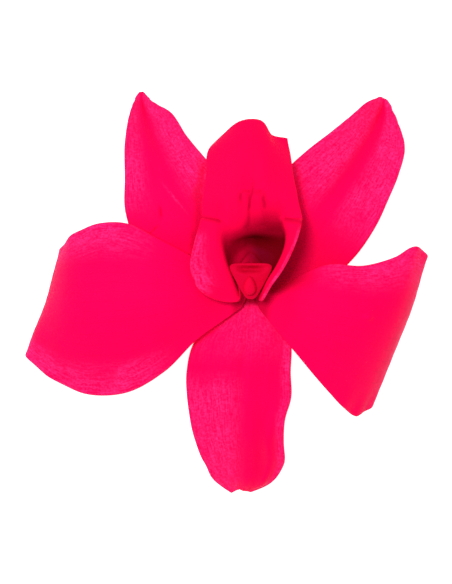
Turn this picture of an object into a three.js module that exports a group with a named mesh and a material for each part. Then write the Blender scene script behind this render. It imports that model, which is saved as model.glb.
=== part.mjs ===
// A preserved orchid flower, cut from its spray and lying on its back.
// Millimetres, +Z up: the flower faces +Z and its lip points to +Y.
// The outer three segments are the sepals, the inner two the petals; the lip, the third inner
// segment, folds round the column. Every segment is a thin blade lofted through rails, which are
// smooth lines that run from its base to its end.
import * as THREE from 'three';

// Driving dimensions
const AXIS_X = 4.3; // the flower's axis of symmetry, from the middle of its overall width
const SEPAL_THICKNESS = 0.7;
const PETAL_THICKNESS = 0.7;
const LIP_THICKNESS = 0.7;
const EDGE_SHARE = 0.6; // thickness left at a blade's edge
const BLADE_ROWS = 18; // mesh steps from base to end
const BLADE_COLUMNS = 8; // mesh steps from edge to edge
const LIP_ROWS = 33;
const LIP_COLUMNS = 18;
const RING_SIDES = 20; // sides of the column, the anther cap and the pedicel

const PETAL_COLOUR = 0xfc0158;
const SEPAL_COLOUR = 0xfb0a60;
const LIP_COLOUR = 0xf8024e;
const COLUMN_COLOUR = 0xee0138;
const PEDICEL_COLOUR = 0xd8104a;

function vector([x, y, z]) {
  return new THREE.Vector3(x, y, z);
}

// A smooth open line through points.
function smoothLine(points) {
  return new THREE.CatmullRomCurve3(points, false, 'centripetal');
}

function petalFinish(color) {
  return new THREE.MeshStandardMaterial({ color, roughness: 0.6, metalness: 0 });
}

function named(name, geometry, color) {
  const mesh = new THREE.Mesh(geometry, petalFinish(color));
  mesh.name = name;
  return mesh;
}

// The middle surface of a blade, as rows of points from base to end.
function bladeRows(rails, rowCount, columnCount) {
  const lines = rails.map((points) => smoothLine(points.map(vector)));
  const rows = [];
  for (let i = 0; i <= rowCount; i += 1) {
    const across = smoothLine(lines.map((line) => line.getPoint(i / rowCount)));
    const row = [];
    for (let j = 0; j <= columnCount; j += 1) {
      row.push(across.getPoint(j / columnCount));
    }
    rows.push(row);
  }
  return rows;
}

// The unit normal of a grid of points at row i and column j, by central differences.
function gridNormal(rows, i, j) {
  const lastRow = rows.length - 1;
  const lastColumn = rows[0].length - 1;
  const along = rows[Math.min(i + 1, lastRow)][j].clone().sub(rows[Math.max(i - 1, 0)][j]);
  const across = rows[i][Math.min(j + 1, lastColumn)].clone().sub(rows[i][Math.max(j - 1, 0)]);
  return across.cross(along).normalize();
}

// Joins two facing grids of points, front and back, into one closed geometry.
function closedSheet(front, back) {
  const rowSize = front[0].length;
  const rowCount = front.length;
  const positions = [...front.flat(), ...back.flat()].flatMap((p) => [p.x, p.y, p.z]);
  const frontAt = (i, j) => i * rowSize + j;
  const backAt = (i, j) => rowCount * rowSize + i * rowSize + j;
  const index = [];
  const quad = (a, b, c, d) => index.push(a, b, c, a, c, d);
  for (let i = 0; i < rowCount - 1; i += 1) {
    for (let j = 0; j < rowSize - 1; j += 1) {
      quad(frontAt(i, j), frontAt(i, j + 1), frontAt(i + 1, j + 1), frontAt(i + 1, j));
      quad(backAt(i, j), backAt(i + 1, j), backAt(i + 1, j + 1), backAt(i, j + 1));
    }
    quad(frontAt(i, 0), frontAt(i + 1, 0), backAt(i + 1, 0), backAt(i, 0));
    const last = rowSize - 1;
    quad(frontAt(i + 1, last), frontAt(i, last), backAt(i, last), backAt(i + 1, last));
  }
  for (let j = 0; j < rowSize - 1; j += 1) {
    const end = rowCount - 1;
    quad(frontAt(0, j + 1), frontAt(0, j), backAt(0, j), backAt(0, j + 1));
    quad(frontAt(end, j), frontAt(end, j + 1), backAt(end, j + 1), backAt(end, j));
  }
  return new THREE.BufferGeometry()
    .setAttribute('position', new THREE.Float32BufferAttribute(positions, 3))
    .setIndex(index);
}

// A thin blade: the lofted middle surface given thickness on both sides, thinner towards its
// edges. Where it would sink below the surface that the flower lies on, it is pressed flat.
function blade(rails, thickness, rowCount = BLADE_ROWS, columnCount = BLADE_COLUMNS) {
  const rows = bladeRows(rails, rowCount, columnCount);
  const side = (sign) =>
    rows.map((row, i) =>
      row.map((point, j) => {
        const edgeDistance = Math.abs((2 * j) / columnCount - 1);
        const half = (thickness / 2) * (1 - (1 - EDGE_SHARE) * edgeDistance ** 3);
        const moved = point.clone().addScaledVector(gridNormal(rows, i, j), sign * half);
        moved.z = Math.max(moved.z, 0);
        return moved;
      }),
    );
  return closedSheet(side(1), side(-1));
}

// A closed body through rings of points, with a flat fan at each end.
function ringBody(rings) {
  const sides = rings[0].length;
  const middle = (ring) =>
    ring.reduce((sum, p) => sum.add(p), new THREE.Vector3()).divideScalar(sides);
  const points = [...rings.flat(), middle(rings[0]), middle(rings.at(-1))];
  const first = rings.length * sides;
  const last = first + 1;
  const index = [];
  for (let i = 0; i < rings.length - 1; i += 1) {
    for (let j = 0; j < sides; j += 1) {
      const next = (j + 1) % sides;
      const [a, b] = [i * sides + j, i * sides + next];
      const [c, d] = [a + sides, b + sides];
      index.push(a, b, d, a, d, c);
    }
  }
  const top = (rings.length - 1) * sides;
  for (let j = 0; j < sides; j += 1) {
    const next = (j + 1) % sides;
    index.push(first, next, j);
    index.push(last, top + j, top + next);
  }
  return new THREE.BufferGeometry()
    .setAttribute('position', new THREE.Float32BufferAttribute(points.flatMap((p) => [p.x, p.y, p.z]), 3))
    .setIndex(index);
}

// Rings along a spine that lies in a plane of constant x. Each station gives the spine point
// (y, z), the ring's half width along x, its half depth, and how far the side that faces +Y
// is wider than the side that faces -Y.
function spineRings(stations, ringShape) {
  const spine = smoothLine(stations.map(({ y, z }) => new THREE.Vector3(AXIS_X, y, z)));
  return stations.map((station, i) => {
    const at = i / (stations.length - 1);
    const tangent = spine.getTangent(at);
    const sideways = new THREE.Vector3(1, 0, 0);
    const outwards = tangent.clone().cross(sideways).normalize();
    const centre = spine.getPoint(at);
    return Array.from({ length: RING_SIDES }, (_, k) => {
      const angle = (2 * Math.PI * k) / RING_SIDES;
      const [across, out] = ringShape(angle, station);
      return centre
        .clone()
        .addScaledVector(sideways, across)
        .addScaledVector(outwards, out);
    });
  });
}

// Dorsal sepal: the single outer segment opposite the lip. Rails: left edge, midrib, right edge.
function dorsalSepal() {
  return blade(
    [
      [[2.2, -0.8, 8.5], [-2.6, -4.6, 8.8], [-6.0, -9.2, 8.9], [-7.1, -14, 8.4],
        [-7.1, -17.6, 7.8], [-6.7, -21.5, 7.0], [-5.6, -26, 5.6], [-3.9, -30, 3.9],
        [-2.0, -33.0, 2.2], [0.9, -35.2, 0.7]],
      [[4.3, -0.8, 8.5], [4.1, -4.8, 9.3], [3.5, -9.2, 10.2], [2.9, -14, 10.1],
        [2.6, -18, 9.4], [2.4, -22, 8.4], [2.5, -26, 6.9], [2.6, -30, 4.8],
        [2.6, -33.2, 2.9], [2.4, -34.7, 0.9]],
      [[6.4, -0.8, 8.5], [10.4, -4.4, 8.8], [11.4, -9.4, 9.2], [11.3, -14, 9.0],
        [11.2, -18.3, 8.6], [10.1, -22.4, 8.4], [9.8, -26.2, 7.4], [9.9, -30, 5.6],
        [7.6, -33.4, 3.2], [4.3, -35.0, 0.7]],
    ],
    SEPAL_THICKNESS,
  );
}

// Lateral sepals: outer segments either side of the lip. Their inner rails start low and close
// together behind the lip, where the two bases form the chin. Rails: outer edge, midrib, inner
// edge.
function leftLateralSepal() {
  return blade(
    [
      [[3.6, 0.0, 8.5], [-8.5, 4.2, 9.3], [-14.4, 8.6, 9.4], [-17.2, 14, 8.9],
        [-17.7, 20, 7.8], [-17.7, 26, 6.2], [-17.1, 30.4, 4.2], [-16.2, 33.3, 2.4],
        [-15.1, 35.0, 0.8]],
      [[3.6, 3.6, 4.8], [-3.0, 8.2, 8.7], [-5.6, 12.2, 9.9], [-8.6, 16.6, 9.7],
        [-10.6, 21.2, 8.5], [-12.2, 25.8, 6.6], [-13.5, 29.6, 4.4], [-14.5, 32.8, 2.2],
        [-14.8, 35.1, 0.8]],
      [[3.85, 7.0, 3.0], [3.8, 12.2, 8.0], [1.8, 15.6, 8.9], [0.2, 19.0, 9.3],
        [-3.3, 23.0, 8.6], [-7.3, 27.0, 6.9], [-10.0, 31.0, 5.0], [-13.1, 33.2, 2.6],
        [-14.4, 34.9, 0.8]],
    ],
    SEPAL_THICKNESS,
  );
}

function rightLateralSepal() {
  return blade(
    [
      [[4.75, 7.0, 3.0], [4.8, 12.2, 8.0], [8.0, 16.6, 8.9], [9.8, 20.4, 9.2],
        [14.0, 24.5, 8.4], [18.2, 27.6, 7.0], [21.6, 30.1, 5.2], [25.0, 33.2, 2.8],
        [27.3, 34.2, 0.8]],
      [[5.0, 3.6, 4.8], [11.4, 8.0, 8.7], [14.6, 11.6, 9.9], [17.6, 15.6, 9.6],
        [20.6, 19.8, 8.4], [23.4, 24.0, 6.4], [25.8, 28.0, 4.2], [27.4, 31.6, 2.0],
        [27.8, 34.0, 0.8]],
      [[5.0, 0.0, 8.5], [16.8, 1.8, 9.2], [22.2, 5.6, 9.2], [26.0, 11.2, 8.9],
        [28.2, 15.8, 8.3], [30.1, 20.6, 7.0], [30.9, 25.2, 5.4], [29.9, 29.6, 3.2],
        [28.4, 33.4, 0.9]],
    ],
    SEPAL_THICKNESS,
  );
}

// Petals: broad inner segments. Each ends in a long margin that is rolled down and under, and
// that the flower rests on. Rails: edge towards the lip, midrib, edge towards the dorsal sepal.
function leftPetal() {
  return blade(
    [
      [[3.7, -0.4, 9.5], [-1.6, 3.0, 10.4], [-6.0, 6.1, 11.5], [-12.0, 9.4, 12.3],
        [-17.4, 12.0, 11.4], [-22.2, 11.9, 9.8], [-26.6, 10.1, 7.6], [-28.8, 7.6, 4.6],
        [-28.2, 7.2, 1.2]],
      [[3.4, -1.3, 9.6], [-1.4, -1.4, 10.8], [-5.6, -1.3, 12.4], [-12, -1.8, 13.7],
        [-18.6, -2.4, 13.3], [-24.4, -2.7, 11.7], [-29.2, -2.6, 9.0], [-31.8, -2.1, 5.2],
        [-31.2, -2.0, 0.6]],
      [[2.9, -2.6, 9.8], [-0.8, -5.2, 10.5], [-5.2, -8.4, 10.9], [-10.6, -13.8, 10.6],
        [-17.4, -17.6, 9.0], [-24.4, -17.8, 7.2], [-30.8, -15.1, 5.6], [-35.2, -11.6, 3.4],
        [-34.4, -10.8, 0.5]],
    ],
    PETAL_THICKNESS,
  );
}

function rightPetal() {
  return blade(
    [
      [[4.9, -0.4, 9.5], [9.2, 1.2, 10.4], [13.4, 4.1, 11.6], [18.0, 5.0, 12.2],
        [23.8, 4.6, 11.9], [29.4, 6.1, 10.8], [33.0, 8.0, 9.2], [35.0, 6.6, 6.2],
        [34.3, 6.0, 2.2]],
      [[5.2, -1.3, 9.6], [9.4, -2.0, 10.9], [13.2, -2.4, 12.6], [18.2, -3.3, 13.5],
        [22.8, -4.0, 13.4], [26.8, -4.6, 12.1], [29.8, -5.2, 9.6], [31.2, -5.8, 5.6],
        [30.5, -5.9, 0.6]],
      [[5.8, -2.9, 9.8], [8.4, -6.2, 10.7], [11.8, -10.2, 11.3], [15.2, -14.4, 10.6],
        [18.2, -17.8, 8.8], [20.4, -20.4, 6.8], [22.6, -22.0, 4.6], [25.4, -20.4, 2.6],
        [24.8, -19.6, 0.5]],
    ],
    PETAL_THICKNESS,
  );
}

// Lip: one piece. It starts as a narrow claw at the column's foot, rises as two side lobes that
// stand round the column, narrows, and spreads into the middle lobe. Rails: left margin, left
// wall, floor, right wall, right margin.
function lip() {
  return blade(
    [
      [[3.0, 5.0, 7.3], [2.3, 2.7, 9.9], [2.3, -1.5, 12.9], [-1.4, -1.5, 13.2],
        [-4.6, 0.3, 13.6], [-6.2, 4.2, 13.9], [-5.4, 9.0, 14.2], [-4.4, 12.6, 14.3],
        [-4.1, 16.4, 13.9], [-3.6, 20.5, 13.0], [-3.5, 24.2, 11.8], [-2.6, 25.5, 11.2]],
      [[3.2, 5.3, 7.0], [1.9, 3.0, 9.6], [2.2, -0.5, 12.2], [1.2, 1.8, 13.6],
        [0.1, 4.2, 14.2], [-0.8, 7.0, 14.4], [-1.5, 9.6, 14.5], [-1.8, 12.4, 14.6],
        [-1.4, 16.6, 14.6], [-1.2, 21.0, 13.9], [-1.2, 25.4, 12.8], [-0.6, 27.9, 11.6]],
      [[3.7, 5.6, 6.7], [2.2, 4.4, 7.8], [1.4, 3.6, 8.8], [0.5, 4.8, 8.8],
        [-0.1, 6.0, 8.9], [-0.5, 7.8, 9.3], [-0.1, 9.7, 10.8], [1.2, 12.0, 13.4],
        [1.4, 16.8, 14.8], [1.4, 21.4, 14.5], [1.6, 26.2, 13.3], [1.9, 29.5, 11.8]],
      [[4.3, 5.8, 6.6], [4.3, 6.6, 6.7], [4.3, 7.2, 6.8], [4.3, 7.9, 6.9],
        [4.3, 8.6, 7.2], [4.3, 9.6, 8.4], [4.3, 10.3, 10.8], [4.3, 12.4, 13.5],
        [4.3, 16.8, 14.6], [4.3, 21.6, 14.4], [4.3, 26.6, 13.3], [4.3, 30.1, 11.8]],
      [[4.9, 5.6, 6.7], [6.4, 4.4, 7.8], [7.2, 3.6, 8.8], [8.2, 4.8, 8.8],
        [9.1, 6.0, 9.1], [9.5, 7.8, 9.5], [9.3, 9.8, 10.9], [8.2, 12.2, 13.6],
        [7.3, 16.8, 14.8], [7.0, 21.4, 14.5], [6.8, 26.2, 13.3], [6.4, 29.7, 11.8]],
      [[5.4, 5.3, 7.0], [6.7, 3.0, 9.6], [5.8, -0.6, 12.4], [6.9, 1.9, 14.2],
        [8.3, 4.5, 14.9], [9.6, 7.2, 15.1], [10.2, 9.6, 15.1], [10.3, 12.3, 14.9],
        [10.0, 16.6, 14.7], [9.4, 21.0, 13.9], [8.8, 25.0, 12.8], [7.9, 27.5, 11.8]],
      [[5.6, 5.0, 7.3], [6.3, 2.7, 9.9], [5.9, -1.5, 13.4], [7.9, 1.3, 15.9],
        [10.0, 4.2, 17.4], [11.9, 7.8, 17.6], [12.9, 10.6, 16.8], [13.2, 12.6, 15.2],
        [12.5, 16.4, 14.2], [11.6, 20.5, 13.0], [11.1, 24.2, 11.6], [10.7, 26.8, 11.2]],
    ],
    LIP_THICKNESS,
    LIP_ROWS,
    LIP_COLUMNS,
  );
}

// Column: the stout organ on the flower's axis. Its foot runs down towards the lip's claw, and
// its top is a triangle, broad towards the lip and narrow behind.
function column() {
  const stations = [
    { y: 5.2, z: 5.3, width: 0.8, depth: 0.4, flare: 0 },
    { y: 4.2, z: 6.9, width: 0.9, depth: 0.6, flare: 0 },
    { y: 3.1, z: 8.6, width: 1.0, depth: 0.9, flare: 0 },
    { y: 2.3, z: 10.2, width: 1.2, depth: 1.4, flare: 0.2 },
    { y: 1.9, z: 12.0, width: 1.8, depth: 2.5, flare: 0.9 },
    { y: 1.9, z: 13.4, width: 2.0, depth: 3.1, flare: 1.6 },
    { y: 1.9, z: 14.0, width: 1.9, depth: 3.0, flare: 1.6 },
  ];
  const squared = (side) => Math.sign(side) * Math.sqrt(Math.abs(side));
  const wedge = (angle, { width, depth, flare }) => {
    const away = squared(Math.sin(angle));
    return [(width + flare * away) * squared(Math.cos(angle)), depth * away];
  };
  return ringBody(spineRings(stations, wedge));
}

// Anther cap: the hooded cap on the column's top, a small separate dome.
function antherCap() {
  const bottom = 14.5;
  const dome = [
    { rise: 0, share: 0.8 },
    { rise: 0.4, share: 1 },
    { rise: 1.0, share: 0.85 },
    { rise: 1.4, share: 0.5 },
  ];
  const stations = dome.map(({ rise, share }) => ({ y: 1.2, z: bottom + rise, share }));
  const hood = (angle, { share }) => [
    1.1 * share * Math.cos(angle) * (1 - 0.3 * Math.sin(angle)),
    1.7 * share * Math.sin(angle),
  ];
  return ringBody(spineRings(stations, hood));
}

// Pedicel: the ovary and the short cut stalk behind the flower. It bends to lie along the
// surface under the dorsal sepal, and six low ribs run along it.
function pedicel() {
  const stations = [
    { y: -1.6, z: 7.6, radius: 1.6 },
    { y: -1.7, z: 6.2, radius: 1.6 },
    { y: -2.8, z: 4.0, radius: 1.5 },
    { y: -5.2, z: 2.3, radius: 1.45 },
    { y: -8.4, z: 1.7, radius: 1.4 },
    { y: -11.5, z: 1.6, radius: 1.35 },
  ];
  const ribbed = (angle, { radius }) => {
    const ribRadius = radius * (1 + 0.05 * Math.cos(6 * angle));
    return [ribRadius * Math.cos(angle), ribRadius * Math.sin(angle)];
  };
  return ringBody(spineRings(stations, ribbed));
}

const segments = new THREE.Group();
segments.add(
  named('dorsal_sepal', dorsalSepal(), SEPAL_COLOUR),
  named('left_lateral_sepal', leftLateralSepal(), SEPAL_COLOUR),
  named('right_lateral_sepal', rightLateralSepal(), SEPAL_COLOUR),
  named('left_petal', leftPetal(), PETAL_COLOUR),
  named('right_petal', rightPetal(), PETAL_COLOUR),
  named('lip', lip(), LIP_COLOUR),
  named('column', column(), COLUMN_COLOUR),
  named('anther_cap', antherCap(), COLUMN_COLOUR),
  named('pedicel', pedicel(), PEDICEL_COLOUR),
);

// The origin is the bottom centre of the whole flower.
const bounds = new THREE.Box3().setFromObject(segments, true);
const centre = bounds.getCenter(new THREE.Vector3());
segments.position.set(-centre.x, -centre.y, -bounds.min.z);

const flower = new THREE.Group();
flower.add(segments);

export default flower;
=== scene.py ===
"""A preserved orchid flower lying on its back, on a plain white table."""

import bpy
import numpy as np
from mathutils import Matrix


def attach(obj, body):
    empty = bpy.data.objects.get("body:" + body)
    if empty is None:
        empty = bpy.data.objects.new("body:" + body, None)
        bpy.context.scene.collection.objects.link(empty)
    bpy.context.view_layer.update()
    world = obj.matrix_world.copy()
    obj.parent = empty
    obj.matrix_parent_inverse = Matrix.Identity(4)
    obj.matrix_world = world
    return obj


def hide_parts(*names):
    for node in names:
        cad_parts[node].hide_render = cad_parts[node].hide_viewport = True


MM = 0.001
SHEET_THICKNESS = 0.6  # of the sepals, the petals and the lip, in millimetres
RIM_SHARES = (0.3, 0.8)  # of that thickness, at a sheet's edge and one row further in
SAME_POINT = 1e-6  # metres, below which two points are one
COLUMN_X = 4.3  # millimetres, where the column and the pedicel stand

# Tissue colours, linear, and the painted sheen and painted shade colours laid over them
PETAL_PINK = (0.85, 0.0003, 0.062)
# Painted sheen: the light that the tissue's margins catch, painted into its colour
PAINTED_SHEEN_PINK = (0.85, 0.02, 0.165)
LIP_PINK = (0.83, 0.0004, 0.048)
# The column's red, darkened to paint in the shade it stands in between the side lobes
SHADED_COLUMN_RED = (0.52, 0.0006, 0.022)
CAP_RED = (0.62, 0.0008, 0.028)
# The stalk's pink, darkened to paint in the shade behind the column, where the stalk shows
SHADED_STALK_PINK = (0.32, 0.001, 0.018)
# Painted shade, for shadows, creases and hollows on the sepals, petals and column
PAINTED_SHADE_RED = (0.30, 0.0004, 0.007)
# Painted shade on the lip; in the throat it is mostly shade and partly the throat's own deeper red
LIP_SHADE_RED = (0.14, 0.0003, 0.003)


# ---------------------------------------------------------------- smooth lines and surfaces


def smooth_line(points, at):
    """Points on the smooth line through the given points, at shares 0 to 1 of its stations.
    points may carry extra middle axes, for many lines at once."""
    p = np.asarray(points, float)
    p = np.concatenate([[2 * p[0] - p[1]], p, [2 * p[-1] - p[-2]]])
    where = np.clip(np.asarray(at, float), 0, 1) * (len(p) - 3)
    k = np.minimum(where.astype(int), len(p) - 4)
    s = (where - k).reshape((-1,) + (1,) * (p.ndim - 1))
    a, b, c, d = p[k], p[k + 1], p[k + 2], p[k + 3]

    def step(q, r):
        return np.maximum(np.sqrt(np.linalg.norm(r - q, axis=-1, keepdims=True)), 1e-6)

    ab, bc, cd = step(a, b), step(b, c), step(c, d)
    start = bc * ((b - a) / ab - (c - a) / (ab + bc) + (c - b) / bc)
    end = bc * ((c - b) / bc - (d - b) / (bc + cd) + (d - c) / cd)
    return (b + start * s + (3 * (c - b) - 2 * start - end) * s**2
            + (2 * (b - c) + start + end) * s**3)


def lofted(rails, u, v):
    """Grid of points, rows along v and columns along u, on the surface through the rails."""
    along = np.stack([smooth_line(rail, v) for rail in rails])
    return np.moveaxis(smooth_line(along, u), 0, 1)


def normals_of(grid):
    """The surface's unit normal at every point of a grid."""
    along = np.gradient(grid, axis=0)
    across = np.gradient(grid, axis=1)
    n = np.cross(across, along)
    return n / np.maximum(np.linalg.norm(n, axis=-1, keepdims=True), 1e-9)


def bump(value, centre, width):
    """A smooth hill of height 1 round a centre."""
    return np.exp(-(((value - centre) / width) ** 2))


def rise(value, low, high):
    """A smooth step from 0 at low to 1 at high."""
    t = np.clip((value - low) / (high - low), 0, 1)
    return t * t * (3 - 2 * t)


# ---------------------------------------------------------------- pieces


def finish_piece(piece, node, material):
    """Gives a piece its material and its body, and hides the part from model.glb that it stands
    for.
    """
    piece.data.materials.append(material)
    bpy.ops.object.shade_smooth()
    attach(piece, "root")
    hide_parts(node)
    bpy.ops.object.select_all(action="DESELECT")


def grid_piece(name, points):
    """A piece whose mesh is the grid of points, in millimetres. Also gives each vertex's row
    and column in it."""
    rows, columns = points.shape[0] - 1, points.shape[1] - 1
    bpy.ops.mesh.primitive_grid_add(x_subdivisions=columns, y_subdivisions=rows, size=1)
    piece = bpy.context.active_object
    piece.name = piece.data.name = name
    shares = np.zeros(len(piece.data.vertices) * 3)
    piece.data.vertices.foreach_get("co", shares)
    shares = shares.reshape(-1, 3) + 0.5
    column = np.rint(shares[:, 0] * columns).astype(int)
    row = np.rint(shares[:, 1] * rows).astype(int)
    piece.data.vertices.foreach_set("co", (points[row, column] * MM).ravel())
    piece.data.update()
    return piece, row, column


def blade(name, rails, relief, columns, rows):
    """A sheet of tissue through the rails that thins towards its edge. relief gives how far the
    surface is raised, in millimetres, at shares u across and v along. The middle of the sheet
    stays half its thickness or more above the table."""
    u = np.linspace(0, 1, columns + 1)
    v = np.linspace(0, 1, rows + 1)
    grid = lofted(rails, u, v)
    grid = grid + normals_of(grid) * relief(u[None, :], v[:, None])[..., None]
    grid[..., 2] = np.maximum(grid[..., 2], SHEET_THICKNESS / 2)
    piece, row, column = grid_piece(name, grid)
    rim = np.minimum(np.minimum(column, columns - column), np.minimum(row, rows - row))
    body = piece.vertex_groups.new(name="body")
    edge_share, next_share = RIM_SHARES
    for share, chosen in ((edge_share, rim == 0), (next_share, rim == 1), (1.0, rim > 1)):
        body.add(np.flatnonzero(chosen).tolist(), share, "REPLACE")
    modifier = piece.modifiers.new("Thickness", "SOLIDIFY")
    modifier.thickness = SHEET_THICKNESS * MM
    modifier.offset = 0.0
    modifier.vertex_group = body.name
    bpy.ops.object.modifier_apply(modifier=modifier.name)
    piece.vertex_groups.clear()
    return piece


def ringed(name, rings):
    """A closed body through rings of points. The first and last rings are single points."""
    piece, _, _ = grid_piece(name, np.concatenate([rings, rings[:, :1]], axis=1))
    bpy.ops.object.mode_set(mode="EDIT")
    bpy.ops.mesh.select_all(action="SELECT")
    bpy.ops.mesh.remove_doubles(threshold=SAME_POINT)
    bpy.ops.mesh.normals_make_consistent(inside=False)
    bpy.ops.object.mode_set(mode="OBJECT")
    return piece


def stem_rings(stations, shape, spine_x, sides, steps):
    """Rings along a spine in the plane x = spine_x. A station is the spine's y and z, and then
    the sizes that the ring's shape takes."""
    at = np.linspace(0, 1, steps)
    line = smooth_line([(spine_x, *station[:2]) for station in stations], at)
    sizes = np.stack([np.interp(at, np.linspace(0, 1, len(stations)), values)
                      for values in np.array(stations, float)[:, 2:].T], axis=1)
    tangent = np.gradient(line, axis=0)
    tangent /= np.linalg.norm(tangent, axis=1, keepdims=True)
    sideways = np.array([1.0, 0, 0])
    outwards = np.cross(tangent, sideways)
    angle = np.linspace(0, 2 * np.pi, sides, endpoint=False)
    rings = []
    for centre, size, out in zip(line, sizes, outwards):
        across, away = shape(angle, *size)
        rings.append(centre + np.outer(across, sideways) + np.outer(away, out))
    return np.array(rings)


# ---------------------------------------------------------------- materials


class Term:
    """A shader socket that can be written into Python sums. One with no socket only starts
    a tree."""

    def __init__(self, tree, socket):
        self.tree = tree
        self.socket = socket

    def feed(self, target, source):
        if isinstance(source, Term):
            self.tree.links.new(source.socket, target)
        else:
            target.default_value = source

    def node(self, kind, settings=None, inputs=None, output=0):
        made = self.tree.nodes.new(kind)
        for name, value in (settings or {}).items():
            setattr(made, name, value)
        for name, value in (inputs or {}).items():
            self.feed(made.inputs[name], value)
        return Term(self.tree, made.outputs[output])

    def maths(self, operation, *values):
        return self.node("ShaderNodeMath", {"operation": operation}, dict(enumerate(values)))

    def __add__(self, other):
        return self.maths("ADD", self, other)

    def __sub__(self, other):
        return self.maths("SUBTRACT", self, other)

    def __rsub__(self, other):
        return self.maths("SUBTRACT", other, self)

    def __mul__(self, other):
        return self.maths("MULTIPLY", self, other)

    def absolute(self):
        return self.maths("ABSOLUTE", self)

    def most(self, other):
        return self.maths("MAXIMUM", self, other)

    def parts(self):
        """The three numbers of a vector."""
        split = self.tree.nodes.new("ShaderNodeSeparateXYZ")
        self.tree.links.new(self.socket, split.inputs[0])
        return [Term(self.tree, output) for output in split.outputs]

    def step(self, low, high):
        """A smooth step from 0 at low to 1 at high. It falls if low is above high."""
        if low > high:
            return 1.0 - self.step(high, low)
        return self.node(
            "ShaderNodeMapRange", {"interpolation_type": "SMOOTHSTEP"},
            {"Value": self, "From Min": low, "From Max": high, "To Min": 0.0, "To Max": 1.0})

    def mix(self, first, second):
        """The first colour where this is 0 and the second where it is 1."""
        made = self.tree.nodes.new("ShaderNodeMix")
        made.data_type = "RGBA"
        # The node has a set of sockets for each data type, and these are the colour's
        factor, first_socket, second_socket, result = (
            made.inputs[0], made.inputs[6], made.inputs[7], made.outputs[2])
        self.feed(factor, self)
        for socket, colour in ((first_socket, first), (second_socket, second)):
            self.feed(socket, colour if isinstance(colour, Term) else (*colour, 1.0))
        return Term(self.tree, result)


def tissue(name, colour, painted_sheen_zone=None, painted_shade_zone=None, shade=PAINTED_SHADE_RED):
    """Preserved flower tissue: matt and saturated, with fine striae that run from base to end.
    The sheen zone gives where a painted sheen, the light that the tissue catches, speckles its
    colour, and the shade zone where painted shade darkens it, as sums of u across, v along, and x
    and y in millimetres."""
    material = bpy.data.materials.new(name)
    material.use_nodes = True
    tree = material.node_tree
    shader = tree.nodes["Principled BSDF"]
    start = Term(tree, None)
    uv = start.node("ShaderNodeUVMap", {"uv_map": "UVMap"})
    place = start.node("ShaderNodeTexCoord", output="Object")
    u, v, _ = uv.parts()
    x, y = (axis * (1 / MM) for axis in place.parts()[:2])

    def noise(scale, detail=3.0, vector=place):
        return start.node("ShaderNodeTexNoise", inputs={
            "Vector": vector, "Scale": scale, "Detail": detail, "Roughness": 0.6})

    # Noise scales are per metre, so that 2600 is a grain of about 0.4 mm
    wobble = noise(150.0, 2.0) - 0.5
    along = start.node("ShaderNodeCombineXYZ", inputs={
        0: u * 85.0 + wobble * 5.0, 1: v * 14.0 + wobble, 2: 0.0})
    striae = noise(1.0, 4.0, along)
    mottle = noise(260.0, 4.0)
    speckle = noise(2600.0, 2.0).step(0.4, 0.68)
    veins = start.maths("PINGPONG", u * 17.0 + wobble * 0.8, 0.5)

    mottled_colour, vein_colour = (tuple(c * darker for c in colour) for darker in (0.88, 0.7))
    tint = (mottle.step(0.35, 0.75) * 0.5).mix(colour, mottled_colour)
    tint = (veins.step(0.07, 0.0) * striae.step(0.35, 0.55) * 0.35).mix(tint, vein_colour)
    # Painted sheen: speckled light caught by the tissue, mixed into the colour
    if painted_sheen_zone:
        patchy = painted_sheen_zone(u, v, x, y) * (noise(120.0, 3.0).step(0.25, 0.55) * 0.8 + 0.2)
        tint = (patchy * (speckle * 0.5 + striae.step(0.4, 0.64) * 0.5)).mix(tint, PAINTED_SHEEN_PINK)
    # Painted shade: the colour darkened where shadows fall and in creases and hollows
    if painted_shade_zone:
        near_x, near_y = x + wobble * 3.5, y + (mottle - 0.5) * 2.5
        tint = painted_shade_zone(u, v, near_x, near_y).mix(tint, shade)
    tree.links.new(tint.socket, shader.inputs["Base Color"])
    relief = striae * 0.7 + speckle * 0.3 + mottle
    bumped = start.node("ShaderNodeBump", inputs={
        "Strength": 0.3, "Distance": 0.0002, "Height": relief})
    tree.links.new(bumped.socket, shader.inputs["Normal"])
    shader.inputs["Roughness"].default_value = 0.55
    shader.inputs["Specular IOR Level"].default_value = 0.06
    shader.inputs["Specular Tint"].default_value = (1.0, 0.08, 0.9, 1.0)
    return material


# ---------------------------------------------------------------- the flower


def living(u, v, phase):
    """The slight unevenness of dried tissue: faint ribs from base to end, broad undulation, and
    a finer ripple along the edges."""
    ribs = 0.012 * np.sin(60 * u + 3 * np.sin(2.2 * v) + phase)
    broad = 0.16 * np.sin(7 * u + 5 * v + phase) * np.sin(4 * u - 9 * v + 2 * phase)
    edge = np.abs(2 * u - 1) ** 6
    ripple = 0.18 * edge * np.sin(31 * v + 2 * phase + 3 * np.sin(8 * v))
    return (ribs + broad + ripple) * rise(v, 0.1, 0.35)


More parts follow.
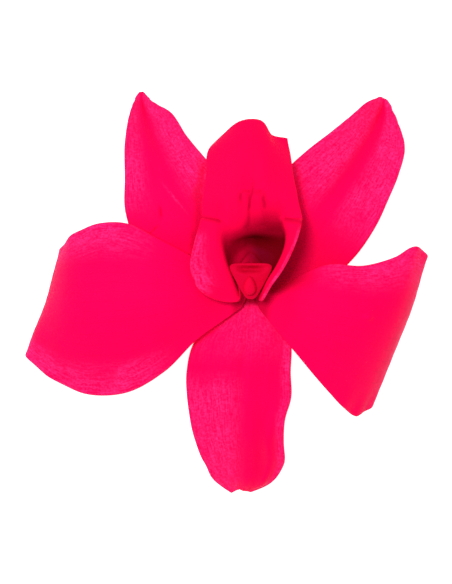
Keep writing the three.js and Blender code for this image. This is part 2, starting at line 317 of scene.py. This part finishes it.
def dorsal_sepal():
    rails = [
        [(2.2, -0.8, 8.5), (-2.5, -4.6, 8.8), (-5.8, -9.2, 8.9), (-6.9, -14, 8.4),
         (-6.9, -17.6, 7.8), (-6.4, -21.5, 7.0), (-5.4, -26, 5.6), (-3.7, -30, 3.9),
         (-2.0, -33.0, 2.2), (0.9, -35.2, 0.7)],
        [(4.3, -0.8, 8.5), (4.1, -4.8, 9.3), (3.5, -9.2, 10.2), (2.9, -14, 10.1),
         (2.6, -18, 9.4), (2.4, -22, 8.4), (2.5, -26, 6.9), (2.6, -30, 4.8),
         (2.6, -33.2, 2.9), (2.4, -34.7, 0.9)],
        [(6.4, -0.8, 8.5), (10.4, -4.4, 8.8), (11.4, -9.4, 9.2), (11.3, -14, 9.0),
         (11.4, -18.3, 8.6), (10.3, -22.4, 8.4), (10.1, -26.2, 7.4), (10.2, -30, 5.6),
         (7.9, -33.4, 3.2), (4.3, -35.0, 0.7)],
    ]

    def relief(u, v):
        valley = -0.9 * bump(u, 0.83, 0.07) * rise(v, 0.5, 0.68) * (1 - rise(v, 0.85, 0.97))
        keel = 0.25 * bump(u, 0.5, 0.06)
        return living(u, v, 1.0) + valley + keel

    piece = blade("dorsal_sepal_tissue", rails, relief, columns=100, rows=140)
    finish_piece(piece, "dorsal_sepal", DORSAL)


def left_lateral_sepal():
    rails = [
        [(3.6, 0.0, 8.5), (-9.0, 4.2, 9.3), (-15.4, 8.6, 9.4), (-17.6, 14, 8.9),
         (-17.7, 20, 7.8), (-17.7, 26, 6.2), (-17.1, 30.4, 4.2), (-16.2, 33.3, 2.4),
         (-15.1, 35.0, 0.8)],
        [(3.6, 3.6, 4.8), (-3.0, 8.2, 8.7), (-5.6, 12.2, 9.9), (-8.6, 16.6, 9.7),
         (-10.6, 21.2, 8.5), (-12.2, 25.8, 6.6), (-13.5, 29.6, 4.4), (-14.5, 32.8, 2.2),
         (-14.8, 35.1, 0.8)],
        [(3.85, 7.0, 3.0), (3.8, 12.2, 8.0), (1.8, 15.6, 8.9), (0.2, 19.0, 9.3),
         (-3.3, 23.0, 8.6), (-6.8, 27.2, 6.9), (-9.5, 31.3, 5.0), (-12.8, 33.3, 2.6),
         (-14.4, 34.9, 0.8)],
    ]

    def relief(u, v):
        fold = -0.5 * bump(u, 0.5, 0.1) * rise(v, 0.5, 0.7) * (1 - rise(v, 0.85, 0.98))
        crease = -0.5 * np.exp(-((u - 0.3 - 0.9 * (v - 0.33)) / 0.012) ** 2) * bump(v, 0.33, 0.025)
        return living(u, v, 2.3) + fold + crease

    piece = blade("left_lateral_sepal_tissue", rails, relief, columns=100, rows=140)
    finish_piece(piece, "left_lateral_sepal", LEFT_SEPAL)


def right_lateral_sepal():
    rails = [
        [(4.75, 7.0, 3.0), (4.8, 12.2, 8.0), (8.0, 16.6, 8.9), (9.8, 20.4, 9.2),
         (14.0, 24.6, 8.4), (18.1, 27.8, 7.0), (21.3, 30.4, 5.2), (24.9, 33.4, 2.8),
         (27.3, 34.2, 0.8)],
        [(5.0, 3.6, 4.8), (11.4, 8.0, 8.7), (14.6, 11.6, 9.9), (17.6, 15.6, 9.6),
         (20.6, 19.8, 8.4), (23.4, 24.0, 6.4), (25.8, 28.0, 4.2), (27.4, 31.6, 2.0),
         (27.8, 34.0, 0.8)],
        [(5.0, -0.2, 8.5), (15.8, 0.6, 9.1), (22.0, 5.6, 9.2), (26.0, 11.2, 8.9),
         (28.2, 15.8, 8.3), (30.2, 20.6, 7.0), (31.3, 25.2, 5.4), (30.2, 29.6, 3.2),
         (28.4, 33.4, 0.9)],
    ]

    def relief(u, v):
        fold = -0.8 * bump(u, 0.5, 0.11) * rise(v, 0.25, 0.5) * (1 - rise(v, 0.88, 1.0))
        return living(u, v, 4.1) + fold

    piece = blade("right_lateral_sepal_tissue", rails, relief, columns=100, rows=140)
    finish_piece(piece, "right_lateral_sepal", RIGHT_SEPAL)


def left_petal():
    rails = [
        [(3.7, -0.4, 9.5), (-1.6, 3.0, 10.4), (-6.0, 6.1, 11.5), (-12.0, 9.4, 12.3),
         (-17.4, 12.0, 11.4), (-22.2, 11.9, 9.8), (-26.6, 10.1, 7.6), (-28.8, 7.6, 4.6),
         (-28.2, 7.2, 1.2)],
        [(3.4, -1.3, 9.6), (-1.4, -1.4, 10.8), (-5.6, -1.3, 12.4), (-12, -1.8, 13.7),
         (-18.6, -2.4, 13.3), (-24.4, -2.7, 11.7), (-28.9, -2.6, 9.0), (-31.4, -2.1, 5.2),
         (-31.2, -2.0, 0.6)],
        [(2.9, -2.6, 9.8), (-0.8, -5.2, 10.5), (-5.2, -8.4, 10.9), (-10.6, -13.8, 10.6),
         (-17.4, -17.6, 9.0), (-24.4, -17.8, 7.2), (-30.8, -15.0, 5.6), (-34.8, -11.5, 3.4),
         (-34.4, -10.8, 0.5)],
    ]

    def relief(u, v):
        return living(u, v, 0.4)

    piece = blade("left_petal_tissue", rails, relief, columns=150, rows=170)
    finish_piece(piece, "left_petal", LEFT_PETAL)


def right_petal():
    rails = [
        [(4.9, -0.4, 9.5), (9.2, 0.6, 10.3), (13.4, 3.1, 11.5), (18.0, 4.8, 12.2),
         (23.8, 4.6, 11.9), (29.4, 6.1, 10.8), (33.0, 8.0, 9.2), (35.0, 6.6, 6.2),
         (34.3, 6.0, 2.2)],
        [(5.2, -1.3, 9.6), (9.4, -2.0, 10.9), (13.2, -2.4, 12.6), (18.2, -3.3, 13.5),
         (22.8, -4.0, 13.4), (26.8, -4.6, 12.1), (29.8, -5.2, 9.6), (31.2, -5.8, 5.6),
         (30.5, -5.9, 0.6)],
        [(5.8, -2.9, 9.8), (8.4, -6.2, 10.7), (11.8, -10.2, 11.3), (15.2, -14.4, 10.6),
         (18.2, -17.8, 8.8), (20.5, -20.2, 6.8), (22.7, -21.7, 4.6), (25.2, -20.3, 2.6),
         (24.8, -19.6, 0.5)],
    ]

    def relief(u, v):
        blister = 0.35 * np.exp(-((u - 0.5) ** 2 / 0.0004 + (v - 0.56) ** 2 / 0.0004))
        return living(u, v, 5.2) + blister

    piece = blade("right_petal_tissue", rails, relief, columns=150, rows=170)
    finish_piece(piece, "right_petal", RIGHT_PETAL)


def lip():
    rails = [
        [(3.0, 4.7, 7.8), (2.3, 2.7, 9.9), (2.3, -1.5, 12.9), (-1.4, -1.5, 13.2),
         (-4.6, 0.3, 13.6), (-6.2, 4.2, 13.9), (-5.4, 9.0, 14.2), (-4.4, 12.6, 14.3),
         (-4.1, 16.4, 13.9), (-3.5, 20.5, 13.0), (-3.2, 24.0, 11.8), (-2.3, 25.3, 11.2)],
        [(3.2, 4.8, 7.6), (1.9, 3.0, 9.6), (2.1, -0.5, 12.2), (0.9, 1.8, 13.6),
         (-0.2, 4.2, 14.2), (-1.1, 7.0, 14.4), (-1.7, 9.6, 14.5), (-1.9, 12.4, 14.6),
         (-1.4, 16.6, 14.6), (-1.2, 21.0, 13.9), (-1.0, 25.2, 12.8), (-0.3, 27.6, 11.6)],
        [(3.7, 4.9, 7.5), (2.2, 4.4, 7.8), (1.4, 3.6, 8.8), (0.5, 4.8, 9.3),
         (0.1, 6.0, 10.2), (0.1, 7.8, 11.4), (0.5, 9.6, 12.7), (1.4, 11.8, 13.9),
         (1.4, 16.8, 14.8), (1.4, 21.4, 14.5), (1.6, 26.2, 13.3), (1.9, 29.5, 11.8)],
        [(4.3, 4.95, 7.1), (4.3, 6.6, 6.7), (4.3, 7.2, 6.8), (4.3, 7.9, 6.9),
         (4.3, 8.6, 7.2), (4.3, 9.6, 8.4), (4.3, 10.3, 10.8), (4.3, 12.4, 13.5),
         (4.3, 16.8, 14.6), (4.3, 21.6, 14.4), (4.3, 26.6, 13.3), (4.3, 30.1, 11.8)],
        [(4.9, 4.9, 7.5), (6.4, 4.4, 7.8), (7.4, 3.6, 8.8), (8.6, 4.8, 8.8),
         (9.5, 6.0, 9.1), (9.9, 7.8, 9.5), (9.8, 10.2, 10.9), (8.5, 12.8, 13.3),
         (7.3, 16.8, 14.8), (7.0, 21.4, 14.5), (6.8, 26.2, 13.3), (6.4, 29.7, 11.8)],
        [(5.4, 4.8, 7.6), (6.8, 3.0, 9.6), (6.1, -0.7, 12.6), (7.4, 1.8, 14.4),
         (9.0, 4.4, 15.1), (10.3, 7.2, 15.4), (10.9, 9.8, 15.3), (10.7, 12.5, 14.8),
         (10.0, 16.6, 14.7), (9.4, 21.0, 13.9), (8.8, 25.0, 12.8), (7.9, 27.5, 11.8)],
        [(5.6, 4.7, 7.8), (6.4, 2.7, 9.9), (6.0, -1.6, 13.4), (7.8, 1.2, 15.9),
         (9.9, 4.2, 17.4), (11.6, 7.6, 17.6), (12.6, 10.2, 17.0), (13.2, 12.6, 15.4),
         (12.5, 16.4, 14.2), (11.6, 20.5, 13.0), (11.1, 24.2, 11.6), (10.7, 26.8, 11.2)],
    ]

    def relief(u, v):
        keels = sum(0.4 * bump(u, across, width) * (1 - rise(v, end - 0.03, end))
                    for across, width, end in ((0.448, 0.03, 0.75), (0.573, 0.045, 0.74)))
        sinus = (rise(v, 0.628, 0.645) - rise(v, 0.645, 0.75)) * rise(abs(2 * u - 1), 0.4, 0.6)
        uneven = 0.2 * np.sin(6 * u + 9 * v) * np.sin(4 * u - 12 * v + 1)
        return keels * rise(v, 0.6, 0.66) - 0.6 * sinus + uneven * rise(v, 0.66, 0.75)

    piece = blade("lip_tissue", rails, relief, columns=150, rows=210)
    finish_piece(piece, "lip", LIP)


def column():
    stations = [(7.4, 4.3, 1.2, 0.3, 0), (6.4, 4.9, 1.4, 0.4, 0), (5.2, 5.7, 1.4, 0.45, 0),
                (4.2, 6.9, 1.3, 0.6, 0), (3.1, 8.6, 1.2, 0.9, 0), (2.3, 10.2, 1.4, 1.4, 0.2),
                (1.9, 12.0, 2.2, 2.6, 1.2), (1.9, 13.2, 2.6, 3.1, 1.7),
                (1.9, 13.8, 2.6, 3.15, 1.7)]

    def wedge(angle, width, depth, flare):
        """A rounded wedge, wider on its lip side by flare."""
        across, away = (np.sign(side) * abs(side) ** 0.4
                        for side in (np.cos(angle), np.sin(angle)))
        return (width + flare * away) * across, depth * away

    rings = stem_rings(stations, wedge, COLUMN_X, sides=96, steps=72)
    foot = np.broadcast_to(rings[0].mean(axis=0), rings[0].shape)
    top = rings[-1]
    middle = top.mean(axis=0)
    rings = [foot, *rings]
    # The top closes in rings, with the stigma cavity and its raised rim
    for share in (0.97, 0.93, 0.88, 0.82, 0.76, 0.7, 0.62, 0.54, 0.46, 0.36, 0.24, 0.12, 0.0):
        ring = middle + (top - middle) * share
        x, y = ring[:, 0] - COLUMN_X, ring[:, 1]
        cavity = 1.1 * np.exp(-(x / 2.1) ** 4 - ((y - 3.95) / 0.45) ** 2)
        rim = 0.25 * np.exp(-((y - 4.8) / 0.25) ** 2)
        ring[:, 2] += 0.6 * (1 - share) ** 0.7 - cavity + rim
        rings.append(ring)
    piece = ringed("column_tissue", np.array(rings))
    finish_piece(piece, "column", COLUMN)


def anther_cap():
    stations = [(1.1, 14.1, 0.0), (1.1, 14.15, 0.9), (1.1, 14.4, 1.0), (1.1, 14.75, 0.93),
                (1.1, 15.1, 0.75), (1.1, 15.3, 0.45), (1.1, 15.4, 0.0)]

    def hood(angle, share):
        return (1.1 * share * np.cos(angle) * (1 - 0.3 * np.sin(angle)),
                1.7 * share * np.sin(angle))

    rings = stem_rings(stations, hood, spine_x=4.1, sides=48, steps=24)
    piece = ringed("anther_cap_tissue", rings)
    finish_piece(piece, "anther_cap", ANTHER_CAP)


def pedicel():
    stations = [(0.3, 8.4, 0.0), (0.3, 8.3, 2.2), (0.2, 7.6, 2.8), (-0.8, 5.6, 2.2),
                (-2.6, 4.0, 1.6), (-5.2, 2.3, 1.45), (-8.4, 1.7, 1.4), (-11.5, 1.6, 1.35),
                (-11.6, 1.6, 0.0)]

    def ribbed(angle, radius):
        rib = radius * (1 + 0.06 * np.cos(6 * angle))
        return rib * np.cos(angle), rib * np.sin(angle)

    rings = stem_rings(stations, ribbed, COLUMN_X, sides=72, steps=70)
    piece = ringed("pedicel_tissue", rings)
    finish_piece(piece, "pedicel", STALK)


# ---------------------------------------------------------------- table, lights and camera


def table():
    """A wide white table, lit mostly by its own glow, so that it stays even round the flower."""
    bpy.ops.mesh.primitive_plane_add(size=4)
    floor = bpy.context.active_object
    floor.name = "table"
    material = bpy.data.materials.new("white_table")
    material.use_nodes = True
    shader = material.node_tree.nodes["Principled BSDF"]
    shader.inputs["Base Color"].default_value = (0.5, 0.5, 0.5, 1)
    shader.inputs["Roughness"].default_value = 1.0
    shader.inputs["Specular IOR Level"].default_value = 0.0
    shader.inputs["Emission Color"].default_value = (1, 1, 1, 1)
    shader.inputs["Emission Strength"].default_value = 0.95
    floor.data.materials.append(material)


def area_light(name, place, size, power):
    """A square soft light that faces the flower."""
    bpy.ops.object.light_add(type="AREA", location=place)
    light = bpy.context.active_object
    light.name = name
    light.data.size = size
    light.data.energy = power
    light.rotation_mode = "QUATERNION"
    light.rotation_quaternion = light.location.to_track_quat("Z", "Y")


def lights():
    """A window to the upper left, and the even light of a white room."""
    area_light("window", place=(-0.32, 0.22, 1.1), size=0.4, power=13.5)
    world = bpy.data.worlds.new("room")
    world.use_nodes = True
    background = world.node_tree.nodes["Background"]
    background.inputs["Color"].default_value = (1, 1, 1, 1)
    background.inputs["Strength"].default_value = 0.7
    bpy.context.scene.world = world


def camera():
    """A camera straight above the flower. The frame is frame_height tall at focus_height above
    the table. All are in metres, apart from the sensor, which is in millimetres."""
    distance, focus_height, frame_height = 1.2, 0.005, 0.1022
    sensor = 36
    bpy.ops.object.camera_add(location=(0, 0, distance + focus_height), rotation=(0, 0, 0))
    cam = bpy.context.active_object
    cam.data.sensor_width = sensor
    cam.data.lens = sensor * distance / frame_height
    cam.data.clip_start = 0.05
    bpy.context.scene.camera = cam
    bpy.context.scene.view_settings.view_transform = "Standard"


def lip_painted_shade(u, v, x, y):
    """Where shade is painted on the lip: deep in its throat, on the slope down into it, in the
    grooves beside the keels and along the brow above them, and in the creases where the side lobes
    meet the middle lobe. In the throat it also stands partly for the lip's own deeper red."""
    side = (u * 2.0 - 1.0).absolute()
    throat = side.step(0.7, 0.42) * v.step(0.66, 0.5) * (x.step(2.0, 6.0) * 0.55 + 0.45)
    slope = y.step(16.5, 10.5) * x.step(1.6, 4.0) * x.step(9.9, 8.9) * y.step(7.0, 8.0)
    shade = throat.most(slope * (x.step(4.5, 8.0) * 0.28 + 0.45))
    for middle, start, end, fades_from in ((2.55, 14.3, 17.9, 17.0), (4.25, 13.3, 20.4, 17.0),
                                           (6.8, 13.3, 17.2, 16.2)):
        groove = (x - middle).absolute().step(0.7, 0.0)
        shade = shade.most(groove * y.step(start, start + 2.0) * y.step(end, fades_from) * 0.48)
    brow = (y + x * 0.1 - 17.7).absolute().step(0.7, 0.0)
    shade = shade.most(brow * x.step(1.9, 2.7) * x.step(7.3, 6.3) * 0.34)
    below_brow = x.step(2.0, 3.0) * x.step(7.4, 6.4) * y.step(17.9, 17.2)
    shade = shade.most(below_brow * 0.13)
    left_crease = (v + u * 0.07 - 0.647).absolute() + u.step(0.2, 0.3) * 0.1
    right_crease = (v + u * 0.1 - 0.717).absolute() + u.step(0.8, 0.7) * 0.1
    return shade.most((left_crease.step(0.02, 0.002) + right_crease.step(0.024, 0.002)) * 0.42)


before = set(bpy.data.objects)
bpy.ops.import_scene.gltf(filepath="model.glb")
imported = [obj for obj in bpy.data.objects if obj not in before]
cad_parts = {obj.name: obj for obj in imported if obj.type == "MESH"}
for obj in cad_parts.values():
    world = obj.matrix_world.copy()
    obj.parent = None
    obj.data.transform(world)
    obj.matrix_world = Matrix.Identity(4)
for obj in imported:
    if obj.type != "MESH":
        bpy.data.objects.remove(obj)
bpy.ops.object.select_all(action="DESELECT")
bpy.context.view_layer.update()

# Each tissue's name and colour, then where a sheen is painted on it and where shade is painted on
# it
# Painted sheen on its top and bottom margins; painted shade at its base under column and lip
LEFT_PETAL = tissue(
    "left_petal_tissue", PETAL_PINK,
    lambda u, v, x, y: (u.step(0.26, 0.05) * v.step(0.35, 0.55)).most(
        u.step(0.78, 0.9) * v.step(0.3, 0.5)),
    lambda u, v, x, y: (v.step(0.09, 0.04) * 0.6).most(v.step(0.36, 0.1) * 0.12))
# Painted sheen on its top margin and rolled rim; painted shade at its base and below the side lobe
RIGHT_PETAL = tissue(
    "right_petal_tissue", PETAL_PINK,
    lambda u, v, x, y: (u.step(0.36, 0.05) * v.step(0.28, 0.45)).most(v.step(0.78, 0.9)),
    lambda u, v, x, y: (v.step(0.12, 0.04) * 0.7).most(v.step(0.36, 0.1) * 0.14).most(
        u.step(0.34, 0.02) * v.step(0.36, 0.2) * 0.85))
# Painted sheen on its left part, base and right margin; painted shade at its base and by its
# valley
DORSAL = tissue(
    "dorsal_sepal_tissue", PETAL_PINK,
    lambda u, v, x, y: (u.step(0.6, 0.3) * v.step(0.3, 0.45)).most(
        v.step(0.34, 0.1) * 0.7).most(u.step(0.85, 0.95)),
    lambda u, v, x, y: (v.step(0.06, 0.02) * 0.9).most(
        (u - 0.75).absolute().step(0.16, 0.0) * v.step(0.45, 0.7) * 0.16))
# Painted sheen on its right half, left margin and a pale line; painted shade beside the lip and in
# a crease
LEFT_SEPAL = tissue(
    "left_lateral_sepal_tissue", PETAL_PINK,
    lambda u, v, x, y: (u.step(0.5, 0.75) * v.step(0.22, 0.5)).most(
        u.step(0.35, 0.12) * v.step(0.3, 0.5) * 0.9).most(
        (y + x * 1.18 - 5.8).absolute().step(0.6, 0.0)
        * (x + 9.15).absolute().step(3.0, 0.5) * 0.7),
    lambda u, v, x, y: ((x + y * -0.08 + 6.1).absolute().step(1.3, 0.2)
                        * y.step(4.0, 8.0) * y.step(25.0, 21.0) * 0.5).most(
        (y + x * -0.7 - 19.95).absolute().step(0.4, 0.05)
        * (x + 12.9).absolute().step(1.6, 0.9) * 0.5))
# Painted sheen on both halves; painted shade along its folded midrib and at its base below the lip
RIGHT_SEPAL = tissue(
    "right_lateral_sepal_tissue", PETAL_PINK,
    lambda u, v, x, y: (u.step(0.5, 0.33) + u.step(0.58, 0.7)) * v.step(0.24, 0.46),
    lambda u, v, x, y: ((u - 0.5).absolute().step(0.12, 0.0) * v.step(0.35, 0.6) * 0.12).most(
        v.step(0.34, 0.14) * 0.42))
# Painted sheen along the side lobes' rims; painted shade in throat, grooves and creases, from
# above
LIP = tissue(
    "lip_tissue", LIP_PINK,
    lambda u, v, x, y: (u.step(0.12, 0.02) * v.step(0.3, 0.38)).most(
        u.step(0.97, 0.99)) * v.step(0.6, 0.54), lip_painted_shade, LIP_SHADE_RED)
# Painted shade round the stigma cavity, on a red already darkened with painted shade
COLUMN = tissue(
    "column_tissue", SHADED_COLUMN_RED, None,
    lambda u, v, x, y: (((x - COLUMN_X) * 0.5).absolute() + ((y - 3.9) * 1.6).absolute()
                        ).step(1.5, 0.5) * 0.35)
ANTHER_CAP = tissue("anther_cap_tissue", CAP_RED)
STALK = tissue("stalk_tissue", SHADED_STALK_PINK)

dorsal_sepal()
left_lateral_sepal()
right_lateral_sepal()
left_petal()
right_petal()
lip()
column()
anther_cap()
pedicel()
table()
lights()
camera()
